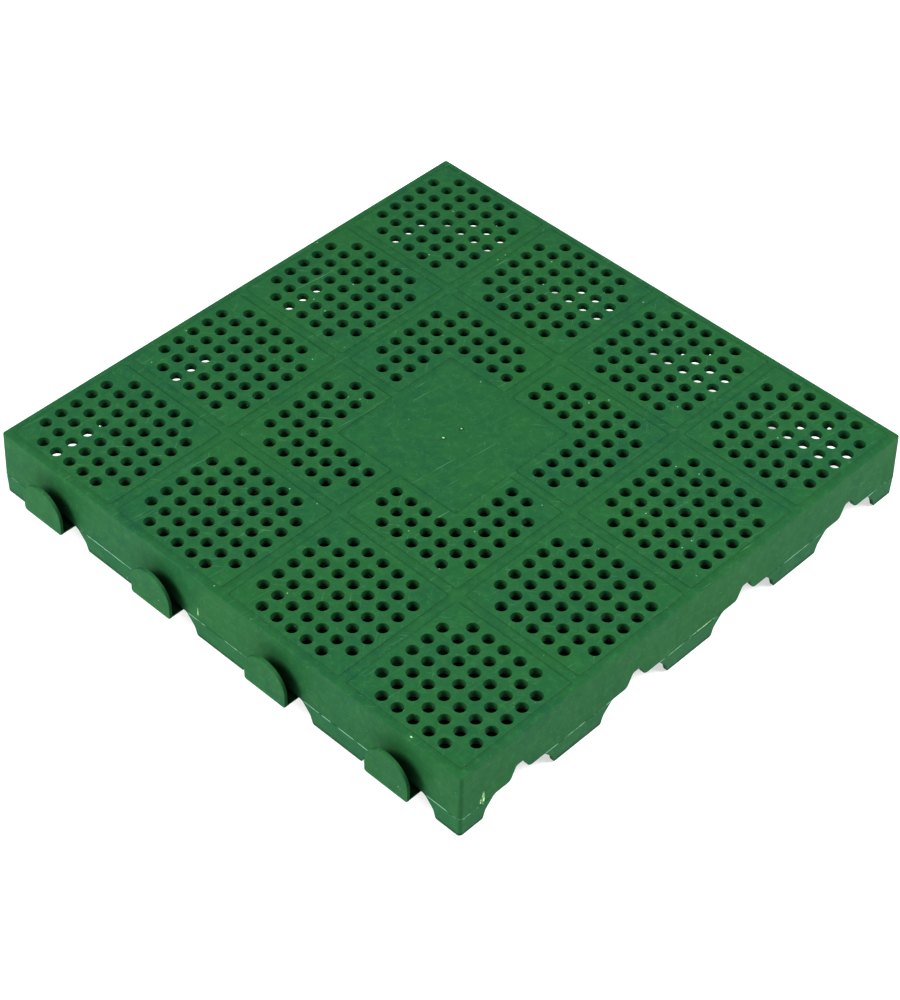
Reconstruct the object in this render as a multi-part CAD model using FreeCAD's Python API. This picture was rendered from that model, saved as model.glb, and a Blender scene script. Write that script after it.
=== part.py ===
import FreeCAD, Part
import math
import os

# Plastic deck tile, injection moulded in one piece. A perforated deck of four by four
# raised panels is carried by a skirt and by walls under the cell boundaries, and hooks on
# the front side reach under the neighbour's skirt. +Z is up, the feet stand on Z = 0 and
# the origin is under the middle of the tile. All sizes are in millimetres.

# Whole tile
TILE_SIDE = 400.0           # across the skirt at the mould's parting line, the widest level
TILE_HEIGHT = 50.0
CORNER_RADIUS = 3.0         # upright corners of the skirt
RIM_RADIUS = 1.5            # rounding between the top and the skirt

# Walls
DECK_THICKNESS = 5.5        # through a raised panel
SKIRT_WALL = 3.0            # from the widest level to the inner face at the floor
CELL_WALL = 3.0             # walls under the cell boundaries

# Draft of the skirt, away from the parting line both ways
PARTING_HEIGHT = 15.0
DRAFT_UP = 1.0              # how far the skirt leans in at the top
DRAFT_DOWN = 0.6            # how far the feet lean in at the floor
CORE_DRAFT = 1.3            # how far the skirt's inner face leans in at the deck

# Cells and drain holes
CELLS = 4                   # cells along each side, an even number
EDGE_STRIP = 1.6            # from the tile's side to the outer cells
HOLES_PER_ROW = 7           # holes along each side of a cell, its four corners left out
HOLE_MARGIN = 12.1          # from a cell's edge to the middles of its outer holes
HOLE_DIAMETER = 8.0

# Raised panels of the cells, with lower bands between and around them
PANEL_RISE = 0.8
PANEL_RADIUS = 3.0          # corners of the panels, seen from above
BAND_WIDTH = 7.0            # between neighbouring panels
BORDER_WIDTH = 6.5          # from the tile's side to the outer panels
GATE_PAD_OVERHANG = 1.4     # low plain square in the middle, past the inner cells' centres
GATE_PAD_MARGIN = 3.0       # plastic left between that square and the nearest holes

# Coupling to the next tile
JOINT_GAP = 1.5             # gap between two coupled tiles

# Arches between the feet, which reach up to the parting line
ARCH_FLOOR_WIDTH = 60.0
ARCH_KNEE_WIDTH = 56.0
ARCH_KNEE_HEIGHT = 7.0
ARCH_TOP_WIDTH = 42.0
ARCH_TOP_RADIUS = 4.0
ARCH_KNEE_RADIUS = 6.0
FOOT_EDGE_RADIUS = 2.5

# Socket notches in the arches of the two sides that take a neighbour's hooks
NOTCH_BASE_WIDTH = 16.0
NOTCH_TOP_WIDTH = 6.0
NOTCH_RISE = 9.5
NOTCH_BASE_RADIUS = 4.0
NOTCH_TOP_RADIUS = 2.0

# Hooks on the front side
HOOK_WIDTH = 35.0
HOOK_WALL = 2.5
HOOK_TOP = 39.5             # height of the crown of its upright plate
HOOK_EDGE_RADIUS = 2.0      # lower corners, seen from the front
HOOK_SIDE_PLAY = 3.0        # between the plate and the inside of the neighbour's skirt
HOOK_SEAT_PLAY = 0.5        # between the shelf and the lower edge of the neighbour's skirt

# Sizes that follow from those above
HALF_SIDE = TILE_SIDE / 2
CELL_PITCH = (TILE_SIDE - 2 * EDGE_STRIP) / CELLS
HOLE_PITCH = (CELL_PITCH - 2 * HOLE_MARGIN) / (HOLES_PER_ROW - 1)
GATE_PAD_HALF = CELL_PITCH / 2 + GATE_PAD_OVERHANG
ARCH_HEIGHT = PARTING_HEIGHT
CONNECTOR_PITCH = (TILE_SIDE + JOINT_GAP) / CELLS
HOOK_POCKET = JOINT_GAP + SKIRT_WALL + HOOK_SIDE_PLAY
HOOK_REACH = HOOK_POCKET + HOOK_WALL
HOOK_SHELF_TOP = ARCH_HEIGHT - HOOK_SEAT_PLAY
HOOK_BOTTOM = HOOK_SHELF_TOP - HOOK_WALL
BAND_HEIGHT = TILE_HEIGHT - PANEL_RISE
DECK_UNDERSIDE = TILE_HEIGHT - DECK_THICKNESS
DECK_CORE = (BAND_HEIGHT + DECK_UNDERSIDE) / 2
HOLE_REACH = (HOLES_PER_ROW - 1) // 2
HOLE_RADIUS = HOLE_DIAMETER / 2
OVERRUN = 5.0               # how far a cutting shape runs past what it cuts


def cell_centres():
    """Distances of the cells' centre lines from the tile's middle."""
    first = -CELL_PITCH * (CELLS - 1) / 2
    return [first + CELL_PITCH * n for n in range(CELLS)]


def cell_boundaries():
    """Distances of the lines between the cells from the tile's middle."""
    return [centre + CELL_PITCH / 2 for centre in cell_centres()[:-1]]


def connector_centres():
    """Distances of the middles of arches and hooks from the tile's middle."""
    first = -CONNECTOR_PITCH * (CELLS - 1) / 2
    return [first + CONNECTOR_PITCH * n for n in range(CELLS)]


def quarter_turn(shape):
    """The shape turned so that what faced back (+Y) faces right (+X)."""
    turned = shape.copy()
    turned.rotate(FreeCAD.Vector(0, 0, 0), FreeCAD.Vector(0, 0, 1), -90)
    return turned


def both_ways(shapes):
    """The shapes with a quarter-turned copy of each."""
    return shapes + [quarter_turn(shape) for shape in shapes]


def block(low_x, high_x, low_y, high_y, low_z, high_z):
    corner = FreeCAD.Vector(low_x, low_y, low_z)
    return Part.makeBox(high_x - low_x, high_y - low_y, high_z - low_z, corner)


def rounded_outline(corners):
    """Closed upright wire through (x, z, radius) corners, each turned by a tangent arc."""
    points = [FreeCAD.Vector(x, 0, z) for x, z, radius in corners]
    edges = []
    ends = []
    for index, (x, z, radius) in enumerate(corners):
        here = points[index]
        back = (points[index - 1] - here).normalize()
        ahead = (points[(index + 1) % len(points)] - here).normalize()
        if radius == 0:
            ends.append((here, here))
            continue
        half_angle = back.getAngle(ahead) / 2
        setback = radius / math.tan(half_angle)
        inward = (back + ahead).normalize()
        start = here + back * setback
        end = here + ahead * setback
        crown = here + inward * (radius / math.sin(half_angle) - radius)
        edges.append(Part.Arc(start, crown, end).toShape())
        ends.append((start, end))
    for index in range(len(ends)):
        edges.append(Part.makeLine(ends[index - 1][1], ends[index][0]))
    return Part.Wire(Part.__sortEdges__(edges))


def upright_prism(corners, near_y, far_y):
    """Solid with a rounded_outline section, from near_y to far_y."""
    section = Part.Face(rounded_outline(corners))
    section.translate(FreeCAD.Vector(0, near_y, 0))
    return section.extrude(FreeCAD.Vector(0, far_y - near_y, 0))


def leaning_block(low_z, high_z, low_half, low_half_y, high_half, high_half_y):
    """Block around the tile's middle, with other half widths at its top than at its foot."""
    lying = Part.makeWedge(-low_half, low_z, -low_half_y, -high_half_y, -high_half,
                           low_half, high_z, low_half_y, high_half_y, high_half)
    lying.rotate(FreeCAD.Vector(0, 0, 0), FreeCAD.Vector(1, 0, 0), 90)
    return lying


def skirt_stage(low_z, high_z, low_lean, high_lean):
    """Square block with cone-shaped corners whose sides lean in from the widest level."""
    straight = HALF_SIDE - CORNER_RADIUS
    band = leaning_block(low_z, high_z, HALF_SIDE - low_lean, straight,
                         HALF_SIDE - high_lean, straight)
    corners = []
    for x in (-straight, straight):
        for y in (-straight, straight):
            corners.append(Part.makeCone(CORNER_RADIUS - low_lean, CORNER_RADIUS - high_lean,
                                         high_z - low_z, FreeCAD.Vector(x, y, low_z)))
    return band.fuse([quarter_turn(band)] + corners)


def core():
    """Block that the hollow under the deck is shaped by, narrowest at the deck."""
    low = HALF_SIDE - SKIRT_WALL
    high = low - CORE_DRAFT
    return leaning_block(0.0, DECK_UNDERSIDE, low, low, high, high)


def tray():
    """Upturned tray of the skirt and a plain deck, with the rim rounded."""
    feet = skirt_stage(0.0, PARTING_HEIGHT, DRAFT_DOWN, 0.0)
    upper = skirt_stage(PARTING_HEIGHT, BAND_HEIGHT, 0.0, DRAFT_UP)
    outside = feet.fuse(upper).removeSplitter()
    rim = [edge for edge in outside.Edges if edge.BoundBox.ZMin > BAND_HEIGHT - RIM_RADIUS / 2]
    outside = outside.makeFillet(RIM_RADIUS, rim)
    return outside.cut(core())


def cell_walls():
    """Walls under the cell boundaries, from skirt to skirt and from floor to deck."""
    reach = HALF_SIDE - SKIRT_WALL
    half = CELL_WALL / 2
    walls = [block(-reach, reach, y - half, y + half, 0.0, DECK_CORE) for y in cell_boundaries()]
    return both_ways(walls)


def arch_corners(centre):
    """Section of the space between two feet, open to the floor."""
    floor = ARCH_FLOOR_WIDTH / 2
    knee = ARCH_KNEE_WIDTH / 2
    top = ARCH_TOP_WIDTH / 2
    outer = floor + 2 * FOOT_EDGE_RADIUS
    return [
        (centre - outer, -OVERRUN, 0),
        (centre - outer, 0.0, 0),
        (centre - floor, 0.0, FOOT_EDGE_RADIUS),
        (centre - knee, ARCH_KNEE_HEIGHT, ARCH_KNEE_RADIUS),
        (centre - top, ARCH_HEIGHT, ARCH_TOP_RADIUS),
        (centre + top, ARCH_HEIGHT, ARCH_TOP_RADIUS),
        (centre + knee, ARCH_KNEE_HEIGHT, ARCH_KNEE_RADIUS),
        (centre + floor, 0.0, FOOT_EDGE_RADIUS),
        (centre + outer, 0.0, 0),
        (centre + outer, -OVERRUN, 0),
    ]


def socket_corners(centre):
    """Section of an arch with the notch over its middle."""
    arch = arch_corners(centre)
    base = NOTCH_BASE_WIDTH / 2
    top = NOTCH_TOP_WIDTH / 2
    crown = ARCH_HEIGHT + NOTCH_RISE
    notch = [
        (centre - base, ARCH_HEIGHT, NOTCH_BASE_RADIUS),
        (centre - top, crown, NOTCH_TOP_RADIUS),
        (centre + top, crown, NOTCH_TOP_RADIUS),
        (centre + base, ARCH_HEIGHT, NOTCH_BASE_RADIUS),
    ]
    half = len(arch) // 2
    return arch[:half] + notch + arch[half:]


def arches():
    """Cutting shapes of the arches: plain through the tile, notched through one skirt."""
    outside = HALF_SIDE + OVERRUN
    behind_skirt = HALF_SIDE - SKIRT_WALL - OVERRUN
    cuts = []
    for centre in connector_centres():
        cuts.append(upright_prism(arch_corners(centre), -outside, behind_skirt))
        cuts.append(upright_prism(socket_corners(centre), behind_skirt, outside))
    return both_ways(cuts)


def hook(centre):
    """Hook of the front side: a shelf, an upright round-topped plate and a heel."""
    half = HOOK_WIDTH / 2
    shoulder = HOOK_TOP - half
    face = -HALF_SIDE - HOOK_REACH
    inner = face + HOOK_WALL
    skirt_inside = -HALF_SIDE + SKIRT_WALL
    plate = upright_prism(
        [
            (centre - half, HOOK_BOTTOM, HOOK_EDGE_RADIUS),
            (centre + half, HOOK_BOTTOM, HOOK_EDGE_RADIUS),
            (centre + half, shoulder, 0),
            (centre - half, shoulder, 0),
        ],
        face,
        inner,
    )
    disc_centre = FreeCAD.Vector(centre, face, shoulder)
    disc = Part.makeCylinder(half, HOOK_WALL, disc_centre, FreeCAD.Vector(0, 1, 0))
    crown = disc.common(block(centre - half, centre + half, face, inner, shoulder, HOOK_TOP))
    shelf = upright_prism(
        [
            (centre - half, HOOK_BOTTOM, HOOK_EDGE_RADIUS),
            (centre + half, HOOK_BOTTOM, HOOK_EDGE_RADIUS),
            (centre + half, HOOK_SHELF_TOP, 0),
            (centre - half, HOOK_SHELF_TOP, 0),
        ],
        face,
        skirt_inside,
    )
    heel = block(centre - half, centre + half, -HALF_SIDE + DRAFT_DOWN, skirt_inside,
                 HOOK_SHELF_TOP, ARCH_HEIGHT + HOOK_WALL)
    return plate.fuse([crown, shelf, heel])


def panel_span(centre):
    """Low and high side of the panels in one row of cells, clear of the bands."""
    reach = HALF_SIDE - BORDER_WIDTH
    half = (CELL_PITCH - BAND_WIDTH) / 2
    return max(centre - half, -reach), min(centre + half, reach)


def panel(low_x, high_x, low_y, high_y):
    """Raised panel of one cell, with the gate pad left out of the cell next to it."""
    pad = GATE_PAD_HALF
    corners = [(low_x, low_y), (high_x, low_y), (high_x, high_y), (low_x, high_y)]
    if low_x < pad and low_y < pad:
        corners[0:1] = [(low_x, pad), (pad, pad), (pad, low_y)]
    outline = rounded_outline([(x, y, PANEL_RADIUS) for x, y in corners])
    face = Part.Face(outline)
    face.rotate(FreeCAD.Vector(0, 0, 0), FreeCAD.Vector(1, 0, 0), -90)
    face.translate(FreeCAD.Vector(0, 0, DECK_CORE))
    return face.extrude(FreeCAD.Vector(0, 0, TILE_HEIGHT - DECK_CORE))


def panels():
    """Panels of one quarter of the tile, turned onto all four quarters."""
    spans = [panel_span(centre) for centre in cell_centres() if centre > 0]
    quarter = [panel(*span_x, *span_y) for span_x in spans for span_y in spans]
    half = both_ways(quarter)
    return half + [quarter_turn(quarter_turn(shape)) for shape in half]


def on_gate_pad(x, y):
    """Whether a hole would come into the gate pad or too near to it."""
    return max(abs(x), abs(y)) < GATE_PAD_HALF + GATE_PAD_MARGIN + HOLE_RADIUS


def hole_places():
    """Middle points of all drain holes."""
    steps = range(-HOLE_REACH, HOLE_REACH + 1)
    places = []
    for centre_x in cell_centres():
        for centre_y in cell_centres():
            for column in steps:
                for row in steps:
                    x = centre_x + column * HOLE_PITCH
                    y = centre_y + row * HOLE_PITCH
                    cell_corner = abs(column) == HOLE_REACH and abs(row) == HOLE_REACH
                    if not cell_corner and not on_gate_pad(x, y):
                        places.append((x, y))
    return places


def drain_holes():
    """Cutting shape of all drain holes."""
    bottom = DECK_UNDERSIDE - OVERRUN
    length = DECK_THICKNESS + 2 * OVERRUN
    bores = []
    for x, y in hole_places():
        bores.append(Part.makeCylinder(HOLE_RADIUS, length, FreeCAD.Vector(x, y, bottom)))
    return Part.makeCompound(bores)


def deck_tile():
    """The whole tile as one moulded solid."""
    tile = tray().fuse(cell_walls() + panels())
    tile = tile.cut(arches())
    tile = tile.fuse([hook(centre) for centre in connector_centres()])
    tile = tile.removeSplitter()
    return tile.cut(drain_holes())


os.makedirs("parts", exist_ok=True)
tile = deck_tile()
solid = tile.Solids[0]
print("solids", len(tile.Solids), "valid", tile.isValid(), "holes", len(hole_places()))
print("volume", round(tile.Volume / 1000, 1), "cm3", "box", tile.BoundBox)
solid.exportStep("parts/deck_tile.step")
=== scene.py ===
import math

import bmesh
import bpy
from mathutils import Matrix, Quaternion, Vector


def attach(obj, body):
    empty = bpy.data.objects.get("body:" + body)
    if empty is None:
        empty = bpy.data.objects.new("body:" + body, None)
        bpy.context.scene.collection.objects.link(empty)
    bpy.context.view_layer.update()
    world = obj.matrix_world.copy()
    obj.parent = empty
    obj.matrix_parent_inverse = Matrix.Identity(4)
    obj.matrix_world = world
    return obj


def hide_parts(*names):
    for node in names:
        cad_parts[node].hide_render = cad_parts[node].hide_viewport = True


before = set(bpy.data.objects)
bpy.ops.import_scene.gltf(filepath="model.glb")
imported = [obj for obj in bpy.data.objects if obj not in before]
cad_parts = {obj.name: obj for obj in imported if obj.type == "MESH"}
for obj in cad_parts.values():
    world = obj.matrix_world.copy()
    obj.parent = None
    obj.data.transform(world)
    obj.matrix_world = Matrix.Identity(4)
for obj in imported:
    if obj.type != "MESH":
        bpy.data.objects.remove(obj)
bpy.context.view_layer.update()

# The tile
# One injection moulding in green polypropylene: a perforated deck of raised panels, a skirt on
# arched feet, walls under the cell boundaries and hooks on the front side. The mould parts at the
# crown of the arches and leaves a fine burr there. The sizes of this section are millimetres.
HALF = 200.0                    # half width at the edge of the parting burr
BAND_HEIGHT = 49.2              # top of the bands between and around the panels
CORNER = 3.0                    # radius of the upright corners at the parting line
RIM = 0.9                       # rounding between skirt and top
RIM_STEPS = 5
PARTING = 15.0                  # height of the parting line
BURR = 0.15                     # how far the burr stands out from the skirt
BURR_FOOT = 0.15                # half the burr's height at the skirt
BURR_EDGE = 0.07                # half the burr's height at its edge
LEAN_TOP = 1.0                  # how far the skirt has leaned in at the top, for the draft
LEAN_FLOOR = 0.6                # and at the floor
FOOT_BEVEL = 0.4


def solid(name, sections):
    """Closed mesh skinned over rings of equally many points, with a flat face at each end."""
    mesh = bmesh.new()
    rings = [[mesh.verts.new(point) for point in ring] for ring in sections]
    count = len(rings[0])
    for low, high in zip(rings, rings[1:]):
        for n in range(count):
            m = (n + 1) % count
            mesh.faces.new((low[n], low[m], high[m], high[n]))
    mesh.faces.new(rings[0][::-1])
    mesh.faces.new(rings[-1])
    return finish_solid(name, mesh)


def finish_solid(name, mesh):
    """Turns all faces outward and makes an object of the mesh."""
    bmesh.ops.recalc_face_normals(mesh, faces=mesh.faces)
    data = bpy.data.meshes.new(name)
    mesh.to_mesh(data)
    mesh.free()
    made = bpy.data.objects.new(name, data)
    bpy.context.scene.collection.objects.link(made)
    return made


def combine(base, operation, tools):
    """Unites the tools with the base, or cuts them out of it, and clears them away."""
    for tool in tools:
        step = base.modifiers.new("step", "BOOLEAN")
        step.operation = operation
        step.solver = "MANIFOLD"
        step.object = tool
    graph = bpy.context.evaluated_depsgraph_get()
    made = bpy.data.meshes.new_from_object(base.evaluated_get(graph))
    base.modifiers.clear()
    old = base.data
    base.data = made
    bpy.data.meshes.remove(old)
    for tool in tools:
        bpy.data.meshes.remove(tool.data)
    return base


def merged(name, parts):
    """One mesh of several solids that stand clear of each other."""
    mesh = bmesh.new()
    for part in parts:
        mesh.from_mesh(part.data)
        bpy.data.meshes.remove(part.data)
    return finish_solid(name, mesh)


def turned(part, quarters):
    """The part, turned so that what faced back faces right, once or more."""
    part.data.transform(Matrix.Rotation(math.radians(-90 * quarters), 4, "Z"))
    return part


def square_ring(half, radius, height, steps=5):
    """Level square with rounded corners."""
    straight = half - radius
    ring = []
    for quarter in range(4):
        middle = math.radians(45 + 90 * quarter)
        x = math.copysign(straight, math.cos(middle))
        y = math.copysign(straight, math.sin(middle))
        for n in range(steps + 1):
            angle = middle + math.radians(90) * (n / steps - 0.5)
            ring.append((x + radius * math.cos(angle), y + radius * math.sin(angle), height))
    return ring


def leaning_ring(lean, height):
    """The tile's outline where it has leaned in from the parting line."""
    return square_ring(HALF - lean, CORNER - lean, height)


# Outside of the tray, from the floor up: bevelled foot, parting burr, skirt, rounded rim.
outline = [(LEAN_FLOOR + FOOT_BEVEL, 0.0), (LEAN_FLOOR, FOOT_BEVEL),
           (BURR, PARTING - BURR_FOOT), (0.0, PARTING - BURR_EDGE),
           (0.0, PARTING + BURR_EDGE), (BURR, PARTING + BURR_FOOT)]
for n in range(RIM_STEPS + 1):
    turn = math.radians(90 * n / RIM_STEPS)
    outline.append((LEAN_TOP + RIM * (1 - math.cos(turn)), BAND_HEIGHT - RIM + RIM * math.sin(turn)))
tile = solid("deck_tile_moulding", [leaning_ring(lean, z) for lean, z in outline])

# The core that shapes the hollow: it narrows towards the deck, so that the tile lets go of it.
CORE_HALF = 197.0               # half width at the floor
CORE_LEAN = 1.3                 # how far it has leaned in at the deck
CORE_LEAN_BELOW = 0.03          # and how far it leans out where it starts, below the floor
CORE_START = -1.0
CORE_CORNER = 1.0
CORE_EDGE = 0.8                 # bevel under the deck
DECK_UNDERSIDE = 44.5
core = solid("core", [square_ring(CORE_HALF + CORE_LEAN_BELOW, CORE_CORNER, CORE_START),
                      square_ring(CORE_HALF - CORE_LEAN, CORE_CORNER, DECK_UNDERSIDE - CORE_EDGE),
                      square_ring(CORE_HALF - CORE_LEAN - CORE_EDGE, CORE_CORNER, DECK_UNDERSIDE)])
combine(tile, "DIFFERENCE", [core])

# Walls under the boundaries of the cells, down to the floor. Their tops lie in the deck and
# their ends in the skirt.
CELL_PITCH = 99.2
BOUNDARIES = [-CELL_PITCH, 0.0, CELL_PITCH]
WALL_HALF = 1.5                 # half thickness
WALL_FOOT = 1.2                 # half thickness at the floor
WALL_TOP = 47.0
WALL_END = 196.4


def bar(name, section, start, end):
    """Straight bar along X with a section of (y, z) points."""
    return solid(name, [[(x, y, z) for y, z in section] for x in (start, end)])


def cell_wall(y):
    section = [(y - WALL_FOOT, 0.0), (y + WALL_FOOT, 0.0), (y + WALL_HALF, FOOT_BEVEL),
               (y + WALL_HALF, WALL_TOP), (y - WALL_HALF, WALL_TOP), (y - WALL_HALF, FOOT_BEVEL)]
    return bar("cell_wall", section, -WALL_END, WALL_END)


for quarters in (0, 1):
    walls = merged("cell_walls", [cell_wall(y) for y in BOUNDARIES])
    combine(tile, "UNION", [turned(walls, quarters)])


def rounded(corners, steps=6):
    """Closed outline through (x, z, radius) corners, each turned by an arc."""
    points = []
    for n, (x, z, radius) in enumerate(corners):
        here = Vector((x, z))
        if radius == 0:
            points.append(here)
            continue
        back = (Vector(corners[n - 1][:2]) - here).normalized()
        ahead = (Vector(corners[(n + 1) % len(corners)][:2]) - here).normalized()
        half = back.angle(ahead) / 2
        centre = here + (back + ahead).normalized() * (radius / math.sin(half))
        start = here + back * (radius / math.tan(half)) - centre
        end = here + ahead * (radius / math.tan(half)) - centre
        sweep = start.angle_signed(end)
        for m in range(steps + 1):
            points.append(centre + Matrix.Rotation(-sweep * m / steps, 2) @ start)
    return points


def widened(points, amount, floor=-math.inf):
    """The outline moved outward. What lies under the floor keeps its height."""
    count = len(points)
    area = sum(points[n - 1].cross(points[n]) for n in range(count))
    side = 1 if area > 0 else -1
    moved = []
    for n in range(count):
        along = (points[(n + 1) % count] - points[n - 1]).normalized()
        out = Vector((along.y, -along.x)) * side * amount
        if points[n].y < floor:
            out.y = 0
        moved.append(points[n] + out)
    return moved


# Raised panels, one to a cell, with a small fillet at the foot and a worn bevel at the top. The
# four in the middle leave out the low square where the plastic flowed in.
HEIGHT = 50.0                   # top of the panels
PAD_HALF = 51.0                 # half width of the low square
BAND_HALF = 3.5                 # half width of the bands between the panels
BORDER = 6.5                    # width of the bands along the skirt
PANEL_RADIUS = 1.5
PANEL_ROOT = 48.2               # where the panels start, inside the deck
# Rings from inside the deck up: how much wider than the panel's outline, and the height.
PANEL_RINGS = [(0.9, PANEL_ROOT), (0.9, BAND_HEIGHT), (0.4, BAND_HEIGHT + 0.12),
               (0.0, BAND_HEIGHT + 0.4), (-0.15, HEIGHT - 0.12), (-0.45, HEIGHT)]


def panel(low_x, high_x, low_y, high_y):
    corners = [(low_x, low_y), (high_x, low_y), (high_x, high_y), (low_x, high_y)]
    if low_x < PAD_HALF and low_y < PAD_HALF:
        corners[0:1] = [(low_x, PAD_HALF), (PAD_HALF, PAD_HALF), (PAD_HALF, low_y)]
    points = rounded([(x, y, PANEL_RADIUS) for x, y in corners])
    return solid("panel", [[(p.x, p.y, z) for p in widened(points, wider)] for wider, z in PANEL_RINGS])


spans = [(BAND_HALF, CELL_PITCH - BAND_HALF), (CELL_PITCH + BAND_HALF, HALF - BORDER)]
for quarters in range(4):
    panels = [panel(*across, *along) for across in spans for along in spans]
    combine(tile, "UNION", [turned(merged("panels", panels), quarters)])

# Arches between the feet, through the whole tile. Those of the back and right sides have a
# notch on top, relief for a neighbour's hooks, which reach in under the skirt there. The cutters
# flare at the skirt for a softened edge.
JOINT_PITCH = 100.375           # hooks and arches repeat over coupled tiles
JOINTS = [JOINT_PITCH * n for n in (-1.5, -0.5, 0.5, 1.5)]
UNDER_FLOOR = -0.02             # just past the feet, so that the cut comes through
KEPT_UNDER = 0.05               # points under this level keep their height in a flare
# Left half of the cutter's outline, as (x, z, radius) corners.
CUTTER_ROOT = [(-35.0, -5.0, 0), (-35.0, UNDER_FLOOR, 0)]
ARCH_HALF = [(-30.0, UNDER_FLOOR, 2.5), (-28.0, 7.0, 6.0), (-21.0, PARTING, 4.0)]
NOTCH_HALF = [(-8.0, PARTING, 4.0), (-3.0, 24.5, 2.0)]
# Steps along the cutter: y, and how much wider it is there.
PLAIN_CUT = [(-203.0, 3.2), (-199.5, 0.0), (193.0, 0.0)]
NOTCHED_CUT = [(192.0, 0.0), (199.4, 0.0), (203.0, 3.2)]


def upright(name, points, steps):
    """Solid along Y over an outline of (x, z) points. The steps are (y, how much wider)."""
    return solid(name, [[(p.x, y, p.y) for p in widened(points, wider, KEPT_UNDER)]
                        for y, wider in steps])


def arch_cutter(centre, left, steps):
    right = [(-x, z, radius) for x, z, radius in reversed(left)]
    return upright("arch", rounded([(centre + x, z, radius) for x, z, radius in left + right]), steps)


for quarters in (0, 1):
    for left, steps in ((CUTTER_ROOT + ARCH_HALF, PLAIN_CUT),
                        (CUTTER_ROOT + ARCH_HALF + NOTCH_HALF, NOTCHED_CUT)):
        cutter = merged("arches", [arch_cutter(centre, left, steps) for centre in JOINTS])
        combine(tile, "DIFFERENCE", [turned(cutter, quarters)])

# Hooks: an upright plate with a round top, on a shelf that runs in under the skirt. A heel
# joins the shelf to the skirt, and a fillet joins it to the plate.
HOOK_HALF = 17.5
HOOK_BOTTOM = 12.0
HOOK_CORNER = 2.0
HOOK_SHOULDER = 22.0            # where the round top starts
HOOK_FACE = -210.0
HOOK_BACK = HOOK_FACE + 2.5
CROWN_STEPS = 32
# Steps through plate, shelf and heel, of the same kind. The plate's edges are rounded.
PLATE_STEPS = [(HOOK_FACE, -0.6), (HOOK_FACE + 0.18, -0.18), (HOOK_FACE + 0.6, 0.0),
               (HOOK_BACK - 0.5, 0.0), (HOOK_BACK - 0.15, -0.15), (HOOK_BACK, -0.5)]
SHELF_TOP = 14.5
SHELF_STEPS = [(HOOK_FACE + 1.2, -0.04), (-197.3, -0.04)]
HEEL_HALF = 17.3                # also the fillet's
HEEL_BOTTOM = 14.2
HEEL_TOP = 17.5
HEEL_STEPS = [(-199.2, 0.0), (-197.2, 0.0)]
FILLET = 0.9
FILLET_STEP = 0.3               # how far it reaches into plate and shelf, and where its face bends
FILLET_SECTION = [(HOOK_BACK - FILLET_STEP, SHELF_TOP - FILLET_STEP),
                  (HOOK_BACK + FILLET, SHELF_TOP - FILLET_STEP),
                  (HOOK_BACK + FILLET, SHELF_TOP),
                  (HOOK_BACK + FILLET_STEP, SHELF_TOP + FILLET_STEP),
                  (HOOK_BACK, SHELF_TOP + FILLET),
                  (HOOK_BACK - FILLET_STEP, SHELF_TOP + FILLET)]


def hook(centre):
    left = centre - HOOK_HALF
    right = centre + HOOK_HALF
    bottom = [(left, HOOK_BOTTOM, HOOK_CORNER), (right, HOOK_BOTTOM, HOOK_CORNER)]
    shelf_outline = rounded(bottom + [(right, SHELF_TOP, 0), (left, SHELF_TOP, 0)])
    foot = rounded(bottom + [(right, HOOK_SHOULDER, 0), (left, HOOK_SHOULDER, 0)])
    turns = [math.pi * n / CROWN_STEPS for n in range(CROWN_STEPS + 1)]
    crown = [Vector((centre + HOOK_HALF * math.cos(turn), HOOK_SHOULDER + HOOK_HALF * math.sin(turn)))
             for turn in turns]
    start = centre - HEEL_HALF
    end = centre + HEEL_HALF
    heel_outline = rounded([(start, HEEL_BOTTOM, 0), (end, HEEL_BOTTOM, 0),
                            (end, HEEL_TOP, 0), (start, HEEL_TOP, 0)])
    plate = upright("hook", foot[:-2] + crown, PLATE_STEPS)
    shelf = upright("shelf", shelf_outline, SHELF_STEPS)
    heel = upright("heel", heel_outline, HEEL_STEPS)
    fillet = bar("fillet", FILLET_SECTION, start, end)
    return combine(plate, "UNION", [shelf, heel, fillet])


for centre in JOINTS:
    combine(tile, "UNION", [hook(centre)])

# Drain holes: seven by seven to a cell less its corners, none in the middle square. Each has
# a softened upper edge, as the mould's pins leave it.
CELLS = [CELL_PITCH * n for n in (-1.5, -0.5, 0.5, 1.5)]
HOLE_PITCH = 12.5
HOLE_RADIUS = 4.0
HOLE_SEGMENTS = 20
# Radius and height of the cutter, from under the deck up.
HOLE_PROFILE = [(HOLE_RADIUS, 44.0), (HOLE_RADIUS, 49.7), (4.1, 49.885), (4.65, 50.2), (4.65, 51.0)]


def round_solid(name, x, y, profile, segments):
    """Upright round solid with a profile of (radius, z) points."""
    turns = [math.tau * n / segments for n in range(segments)]
    return solid(name, [[(x + radius * math.cos(turn), y + radius * math.sin(turn), z) for turn in turns]
                        for radius, z in profile])


holes = []
for centre_x in CELLS:
    for centre_y in CELLS:
        for column in range(-3, 4):
            for row in range(-3, 4):
                x = centre_x + column * HOLE_PITCH
                y = centre_y + row * HOLE_PITCH
                if abs(column) + abs(row) < 6 and max(abs(x), abs(y)) > PAD_HALF + HOLE_RADIUS:
                    holes.append(round_solid("drain_hole", x, y, HOLE_PROFILE, HOLE_SEGMENTS))
combine(tile, "DIFFERENCE", [merged("drain_holes", holes)])

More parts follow.
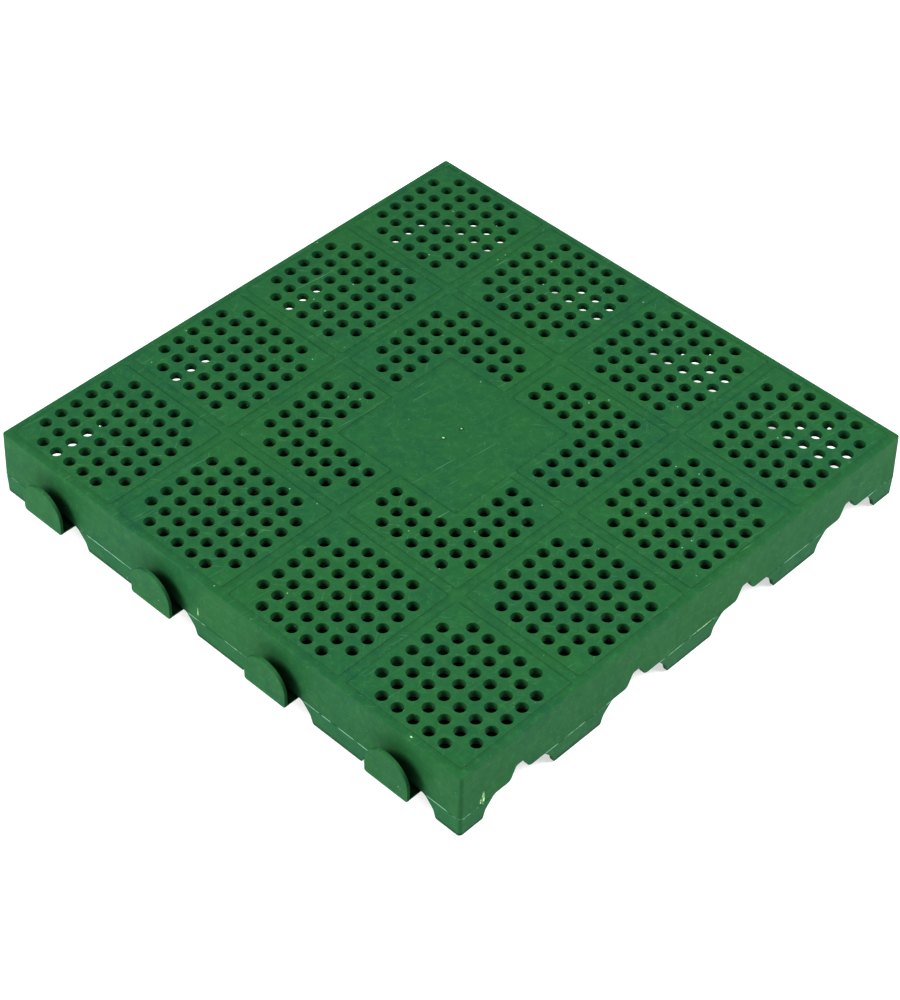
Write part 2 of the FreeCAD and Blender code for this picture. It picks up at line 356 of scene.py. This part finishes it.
# What the gate left when it was broken off: two low round nubs in the middle square.
NUB_SPOTS = [(-1.6, -6.8), (0.5, 7.1)]
NUB_SEGMENTS = 16
NUB_PROFILE = [(1.4, PANEL_ROOT), (1.4, BAND_HEIGHT + 0.2), (1.1, BAND_HEIGHT + 0.42),
               (0.5, BAND_HEIGHT + 0.5)]
for x, y in NUB_SPOTS:
    combine(tile, "UNION", [round_solid("gate_nub", x, y, NUB_PROFILE, NUB_SEGMENTS)])

# The mesh in metres, with smooth shading over the rounded forms only. The flat faces keep their
# own normals.
SHARP_ANGLE = 25.0
tile.data.transform(Matrix.Scale(0.001, 4))
tile.data.shade_smooth()
tile.data.set_sharp_from_angle(angle=math.radians(SHARP_ANGLE))
even = tile.modifiers.new("flat faces first", "WEIGHTED_NORMAL")
even.keep_sharp = True


def linear(code):
    """Linear colour of an sRGB hex code."""
    parts = [int(code[n:n + 2], 16) / 255 for n in (0, 2, 4)]
    return [c / 12.92 if c <= 0.04045 else ((c + 0.055) / 1.055) ** 2.4 for c in parts] + [1.0]


def add(tree, kind, inputs=(), **settings):
    """Adds a node with its settings. Inputs are values or other nodes' outputs, by name or number."""
    node = tree.nodes.new(kind)
    for name, value in settings.items():
        setattr(node, name, value)
    for name, value in dict(inputs).items():
        if isinstance(value, bpy.types.NodeSocket):
            tree.links.new(value, node.inputs[name])
        else:
            node.inputs[name].default_value = value
    return node


# The finish: the dye, and what lies over it. Each row of the mottling has the size of its noise,
# the noise's detail and roughness, the levels at which the colour starts and is full, its share
# there, and the colour.
DYE = "2A5A42"
MOTTLING = [(60.0, 3.0, 0.5, 0.35, 0.65, 1.0, "2F5F3C"),        # clouds of pigment
            (9.0, 4.0, 0.6, 0.3, 0.7, 1.0, "33643F"),           # finer flow in them
            (5.0, 5.0, 0.7, 0.5, 0.75, 0.15, "5A9467"),         # rubbed patches
            (2.2, 6.0, 0.75, 0.62, 0.8, 0.45, "9CB8A4")]        # whitish scuffs
# Turn in degrees, length, width, and share.
SCRATCHES = [(38, 22, 0.7, 0.18), (-55, 18, 0.6, 0.17), (84, 40, 0.8, 0.24)]
SCRATCHED = "A6C8AC"
SPECK_PITCH = 7.0
SPECKED = "B4D2B8"
# Painted reflection of the bright floor: a paler, bluer tint under the parting line.
PAINTED_FLOOR_REFLECTION = "2E6E58"
FLOOR_REFLECTION_FADE = 0.4           # how far under the parting line it is at its full share
BURR_RUBBED = "A9D6BC"
BURR_COLOURED = 0.35            # half height of the pale line on the burr
BURR_STRETCH = 16.0             # length of its stretches
# The middle of each bruise, and its half widths along the three axes.
BRUISES = [((*NUB_SPOTS[0], 49.7), (1.3, 1.0, 1.5)),            # where the gate was broken off
           ((*NUB_SPOTS[1], 49.7), (0.9, 0.7, 1.5)),
           ((HALF, -181.0, 19.5), (1.5, 1.4, 6.5)),             # chip on the right side
           ((HALF, -183.0, 18.0), (1.5, 1.2, 2.5)),
           ((-18.5, -HALF, 22.5), (0.6, 1.5, 4.5)),             # scratch on the front
           ((HALF, 10.0, 16.0), (1.0, 14.0, 0.7)),              # rub over the right side's burr
           ((140.0, -185.5, 50.0), (1.2, 0.8, 0.5)),            # knocks on top
           ((157.0, -196.0, 49.2), (1.3, 0.9, 0.6))]
BRUISED = "B4DCA8"
BRUISE_RAGGED = 1.2             # size of the ragged spots in a bruise
# Painted shade, laid into corners and recesses by ambient occlusion.
PAINTED_SHADE = "12281B"
SHADE_REACH = 4.0                # how far from a corner the painted shade reaches
SHADE_FALL = 0.8                 # power of its fall away from the corner
SHADE_SHARE = 0.85
WEAR_PATCH = 14.0
GRAIN = 0.9                     # coarser than a mould's sprayed sand, so that it shows
GRAIN_DEPTH = 0.04


def moulded_polypropylene():
    """Polypropylene, dyed through and moulded with a fine sprayed-sand grain. The eye sees a
    satin green with cloudy flow of the pigment, and whitish scuffs where it was walked on and
    stacked. The use has taken most of its gloss, so the green stays deep, with hardly a sheen."""
    material = bpy.data.materials.new("moulded_polypropylene")
    material.use_nodes = True
    tree = material.node_tree
    tree.nodes.clear()
    place = add(tree, "ShaderNodeTexCoord").outputs["Object"]

    # A Mix node for colours takes its share, the colour below and the colour on top as inputs
    # 0, 6 and 7, and gives the result as output 2.
    colour = linear(DYE)
    for size, detail, roughness, start, full, share, tint in MOTTLING:
        noise = add(tree, "ShaderNodeTexNoise", {"Vector": place, "Scale": 1000 / size, "Detail": detail,
                                                 "Roughness": roughness})
        shown = add(tree, "ShaderNodeMapRange", {"Value": noise.outputs["Fac"], "From Min": start,
                                                 "From Max": full, "To Max": share})
        layer = add(tree, "ShaderNodeMix", {0: shown.outputs["Result"], 6: colour, 7: linear(tint)},
                    data_type="RGBA")
        colour = layer.outputs[2]

    # Scratches: noise drawn out along the ways that the tile was dragged.
    for angle, length, width, share in SCRATCHES:
        drawn = add(tree, "ShaderNodeMapping",
                    {"Vector": place, "Rotation": (0.0, 0.0, math.radians(angle)),
                     "Scale": (length / 1000, width / 1000, width / 1000)}, vector_type="TEXTURE")
        noise = add(tree, "ShaderNodeTexNoise", {"Vector": drawn.outputs["Vector"], "Scale": 1.0,
                                                 "Detail": 2.0, "Roughness": 0.6})
        shown = add(tree, "ShaderNodeMapRange", {"Value": noise.outputs["Fac"], "From Min": 0.68,
                                                 "From Max": 0.78, "To Max": share})
        layer = add(tree, "ShaderNodeMix",
                    {0: shown.outputs["Result"], 6: colour, 7: linear(SCRATCHED)}, data_type="RGBA")
        colour = layer.outputs[2]

    # Grit pressed into the plastic leaves pale specks, in about one in eight of the pattern's cells.
    grit = add(tree, "ShaderNodeTexVoronoi", {"Vector": place, "Scale": 1000 / SPECK_PITCH})
    near = add(tree, "ShaderNodeMapRange", {"Value": grit.outputs["Distance"], "From Min": 0.04,
                                            "From Max": 0.09, "To Min": 0.55, "To Max": 0.0})
    cell = add(tree, "ShaderNodeSeparateColor", {"Color": grit.outputs["Color"]})
    chosen = add(tree, "ShaderNodeMapRange", {"Value": cell.outputs["Red"], "From Min": 0.86,
                                              "From Max": 0.88})
    specks = add(tree, "ShaderNodeMath", {0: near.outputs["Result"], 1: chosen.outputs["Result"]},
                 operation="MULTIPLY")
    specked = add(tree, "ShaderNodeMix", {0: specks.outputs["Value"], 6: colour, 7: linear(SPECKED)},
                  data_type="RGBA")

    # Painted reflection: under the parting line the colour is tinted paler and bluer, as if the bright
    # floor shone in the skirt.
    level = add(tree, "ShaderNodeSeparateXYZ", {"Vector": place})
    under = add(tree, "ShaderNodeMapRange",
                {"Value": level.outputs["Z"], "From Min": (PARTING - FLOOR_REFLECTION_FADE) / 1000,
                 "From Max": PARTING / 1000, "To Min": 0.14, "To Max": 0.0})
    banded = add(tree, "ShaderNodeMix", {0: under.outputs["Result"], 6: specked.outputs[2],
                                         7: linear(PAINTED_FLOOR_REFLECTION)}, data_type="RGBA")

    # The parting burr is rubbed pale, in stretches. The hooks, which stand out, have none.
    burr = add(tree, "ShaderNodeMath", {0: level.outputs["Z"], 1: PARTING / 1000,
                                        2: BURR_COLOURED / 1000}, operation="COMPARE")
    skirt = add(tree, "ShaderNodeMapRange", {"Value": level.outputs["Y"],
                                             "From Min": (-HALF - 0.7) / 1000,
                                             "From Max": (-HALF - 0.4) / 1000})
    noise = add(tree, "ShaderNodeTexNoise", {"Vector": place, "Scale": 1000 / BURR_STRETCH,
                                             "Detail": 4.0, "Roughness": 0.7})
    stretches = add(tree, "ShaderNodeMapRange", {"Value": noise.outputs["Fac"], "From Min": 0.45,
                                                 "From Max": 0.56, "To Max": 0.8})
    on_skirt = add(tree, "ShaderNodeMath", {0: burr.outputs["Value"], 1: skirt.outputs["Result"]},
                   operation="MULTIPLY")
    rubbed = add(tree, "ShaderNodeMath", {0: on_skirt.outputs["Value"], 1: stretches.outputs["Result"]},
                 operation="MULTIPLY")
    lined = add(tree, "ShaderNodeMix", {0: rubbed.outputs["Value"], 6: banded.outputs[2],
                                        7: linear(BURR_RUBBED)}, data_type="RGBA")
    colour = lined.outputs[2]

    # Knocks whiten it in ragged spots.
    noise = add(tree, "ShaderNodeTexNoise", {"Vector": place, "Scale": 1000 / BRUISE_RAGGED,
                                             "Detail": 3.0, "Roughness": 0.7})
    ragged = add(tree, "ShaderNodeMapRange", {"Value": noise.outputs["Fac"], "From Min": 0.42,
                                              "From Max": 0.55})
    for spot, radii in BRUISES:
        offset = add(tree, "ShaderNodeVectorMath", {0: place, 1: [c / 1000 for c in spot]},
                     operation="SUBTRACT")
        scaled = add(tree, "ShaderNodeVectorMath", {0: offset.outputs["Vector"],
                                                    1: [1000 / c for c in radii]}, operation="MULTIPLY")
        away = add(tree, "ShaderNodeVectorMath", {0: scaled.outputs["Vector"]}, operation="LENGTH")
        within = add(tree, "ShaderNodeMapRange", {"Value": away.outputs["Value"], "From Min": 0.4,
                                                  "From Max": 1.0, "To Min": 1.0, "To Max": 0.0})
        whitened = add(tree, "ShaderNodeMath", {0: within.outputs["Result"], 1: ragged.outputs["Result"]},
                       operation="MULTIPLY")
        layer = add(tree, "ShaderNodeMix", {0: whitened.outputs["Value"], 6: colour, 7: linear(BRUISED)},
                    data_type="RGBA")
        colour = layer.outputs[2]

    # Painted shade: ambient occlusion darkens the colour in the holes and, thinly, at the foot of the
    # panels.
    corners = add(tree, "ShaderNodeAmbientOcclusion", {"Distance": SHADE_REACH / 1000}, samples=6)
    closed = add(tree, "ShaderNodeMapRange", {"Value": corners.outputs["AO"], "From Min": 0.4,
                                              "From Max": 1.0, "To Min": 1.0, "To Max": 0.0})
    shade_falloff = add(tree, "ShaderNodeMath", {0: closed.outputs["Result"], 1: SHADE_FALL}, operation="POWER")
    shade_amount = add(tree, "ShaderNodeMath", {0: shade_falloff.outputs["Value"], 1: SHADE_SHARE},
               operation="MULTIPLY")
    shade_mix = add(tree, "ShaderNodeMix", {0: shade_amount.outputs["Value"], 6: colour, 7: linear(PAINTED_SHADE)},
                data_type="RGBA")

    # Wear leaves duller and shinier patches on the grain.
    patches = add(tree, "ShaderNodeTexNoise", {"Vector": place, "Scale": 1000 / WEAR_PATCH,
                                               "Detail": 3.0})
    dullness = add(tree, "ShaderNodeMapRange", {"Value": patches.outputs["Fac"], "From Min": 0.3,
                                                "From Max": 0.7, "To Min": 0.38, "To Max": 0.52})
    sand = add(tree, "ShaderNodeTexNoise", {"Vector": place, "Scale": 1000 / GRAIN, "Detail": 2.0})
    grain = add(tree, "ShaderNodeBump", {"Height": sand.outputs["Fac"],
                                         "Distance": GRAIN_DEPTH / 1000, "Strength": 0.5})
    shader = add(tree, "ShaderNodeBsdfPrincipled", {"Base Color": shade_mix.outputs[2],
                                                    "Roughness": dullness.outputs["Result"],
                                                    "Normal": grain.outputs["Normal"], "IOR": 1.49,
                                                    "Specular IOR Level": 0.05})
    add(tree, "ShaderNodeOutputMaterial", {"Surface": shader.outputs["BSDF"]})
    return material


tile.data.materials.clear()
tile.data.materials.append(moulded_polypropylene())
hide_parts("deck_tile")
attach(tile, "root")

# The floor
# A plain studio floor of matt white paper. It glows a little, so that it runs out to white all
# round the tile. The sizes are in metres from here on.
FLOOR_HALF = 4.0
FLOOR_LEVEL = -0.0005
MATT = 0.9                      # roughness of paper
floor_mesh = bmesh.new()
bmesh.ops.create_grid(floor_mesh, x_segments=1, y_segments=1, size=FLOOR_HALF)
floor = finish_solid("floor", floor_mesh)
floor.location.z = FLOOR_LEVEL
white = bpy.data.materials.new("white_paper")
white.use_nodes = True
paper = white.node_tree.nodes["Principled BSDF"]
paper.inputs["Base Color"].default_value = linear("C0C0BE")
paper.inputs["Roughness"].default_value = MATT
paper.inputs["Emission Color"].default_value = (1.0, 1.0, 1.0, 1.0)
paper.inputs["Emission Strength"].default_value = 0.45
floor.data.materials.append(white)

# The shade card
# A sheet of black paper on the floor under the tile, cut a little smaller than the tile: painted shade, a
# dark sheet laid where the hollow is in shadow. The drain holes look dark through it, and from low angles
# the arches too.
CARD_LOW = (-0.196, -0.182)
CARD_HIGH = (0.182, 0.1905)
CARD_LEVEL = -0.0003
card_mesh = bmesh.new()
card_corners = (CARD_LOW, (CARD_HIGH[0], CARD_LOW[1]), CARD_HIGH, (CARD_LOW[0], CARD_HIGH[1]))
card_mesh.faces.new([card_mesh.verts.new((x, y, CARD_LEVEL)) for x, y in card_corners])
shade_card = finish_solid("shade_card", card_mesh)
black = bpy.data.materials.new("shade_card_paper")
black.use_nodes = True
sheet = black.node_tree.nodes["Principled BSDF"]
sheet.inputs["Base Color"].default_value = linear("22252F")
sheet.inputs["Roughness"].default_value = MATT
shade_card.data.materials.append(black)

# The light
# Soft studio light: two large softboxes, to the right and to the left of the tile as the camera
# sees it, and an even white surround.
world = bpy.data.worlds.new("surround")
world.use_nodes = True
world.node_tree.nodes["Background"].inputs["Color"].default_value = (1.0, 1.0, 1.0, 1.0)
world.node_tree.nodes["Background"].inputs["Strength"].default_value = 0.3
bpy.context.scene.world = world


def softbox(name, place, power, width=1.2):
    """Square light at a place in metres, turned to the tile. Its power is in watts."""
    light = bpy.data.lights.new(name, "AREA")
    light.shape = "SQUARE"
    light.size = width
    light.energy = power
    lamp = bpy.data.objects.new(name, light)
    lamp.location = place
    lamp.rotation_euler = (-Vector(place)).to_track_quat("-Z", "Y").to_euler()
    bpy.context.scene.collection.objects.link(lamp)


softbox("key", (1.6, 1.0, 1.9), 60)
softbox("fill", (-0.8, -1.9, 1.3), 50)

# The camera
# Stands in front of the tile's near corner and looks down on it with a long lens. Its place,
# aim and slight roll come from the drain holes' positions in the photograph.
CAMERA_PLACE = (0.864276, -0.929005, 1.228797)
CAMERA_AIM = (0.040427, -0.044337, 0.05)
CAMERA_ROLL = 1.577             # degrees
camera_data = bpy.data.cameras.new("camera")
camera_data.lens = 99.58
camera_data.sensor_fit = "VERTICAL"
camera_data.sensor_height = 36.0
camera = bpy.data.objects.new("camera", camera_data)
camera.location = CAMERA_PLACE
aim = Vector(CAMERA_AIM) - camera.location
roll = Quaternion((0, 0, 1), math.radians(CAMERA_ROLL))
camera.rotation_mode = "QUATERNION"
camera.rotation_quaternion = aim.to_track_quat("-Z", "Y") @ roll
bpy.context.scene.collection.objects.link(camera)
bpy.context.scene.camera = camera
bpy.context.scene.view_settings.view_transform = "Standard"
bpy.context.scene.view_settings.look = "High Contrast"
